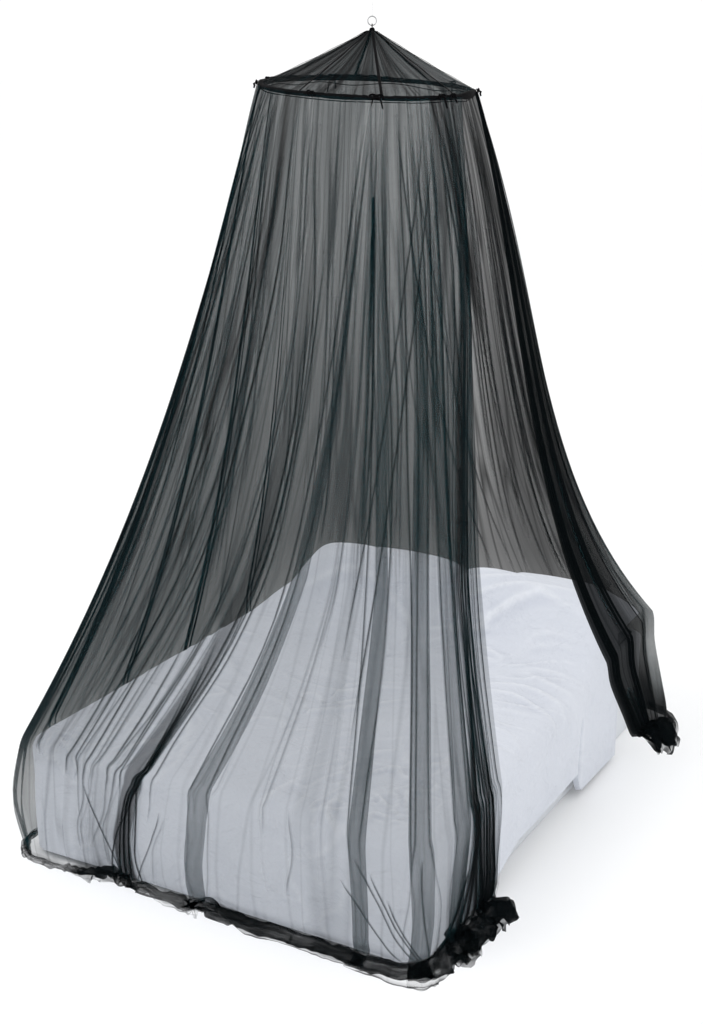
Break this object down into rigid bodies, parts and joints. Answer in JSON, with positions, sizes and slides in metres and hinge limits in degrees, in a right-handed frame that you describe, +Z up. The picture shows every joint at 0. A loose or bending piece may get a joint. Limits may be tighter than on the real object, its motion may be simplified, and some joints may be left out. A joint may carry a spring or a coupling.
{
  "type": "mosquito net canopy with hoop over a bed",
  "caption": "Black mosquito net canopy: a cone on a round hoop, its net falling over a made double bed to the floor, open on one side.",
  "frame": {"origin": "the middle of the ceiling plate's flat top, on the line that the canopy hangs from; the floor is 2.67 m below", "axes": "+X towards the side of the bed where the net opens, +Y towards the head of the bed, +Z up"},
  "size_m": [1.7123, 2.1593, 2.67],
  "materials": {
    "black_net": "fine black polyester net, see-through, darker where layers and folds lie over each other",
    "black_tape": "black woven tape and ribbon, matt",
    "black_rod": "black plastic-coated rod",
    "steel": "plain bright steel",
    "clear_line": "clear nylon line",
    "white_cotton": "white washed cotton, softly creased",
    "mattress_cloth": "plain white woven cover"
  },
  "bodies": {
    "root": {"bed_base": "mattress_cloth", "mattress": "mattress_cloth", "duvet": "white_cotton", "pillow_left": "white_cotton", "pillow_right": "white_cotton", "side_net": "black_net", "crown_net": "black_net", "crown_seam_1": "black_tape", "crown_seam_2": "black_tape", "crown_seam_3": "black_tape", "crown_seam_4": "black_tape", "crown_seam_5": "black_tape", "crown_seam_6": "black_tape", "crown_seam_7": "black_tape", "crown_seam_8": "black_tape", "tie_1": "black_tape", "tie_2": "black_tape", "tie_3": "black_tape", "tie_4": "black_tape", "tie_5": "black_tape", "tie_6": "black_tape", "tie_7": "black_tape", "tie_8": "black_tape", "tie_9": "black_tape", "hoop": "black_rod", "hoop_binding": "black_tape", "top_loop": "black_tape", "top_ring": "steel", "hanging_line": "clear_line", "ceiling_hook": "steel", "ceiling_plate": "steel"}
  },
  "joints": []
}
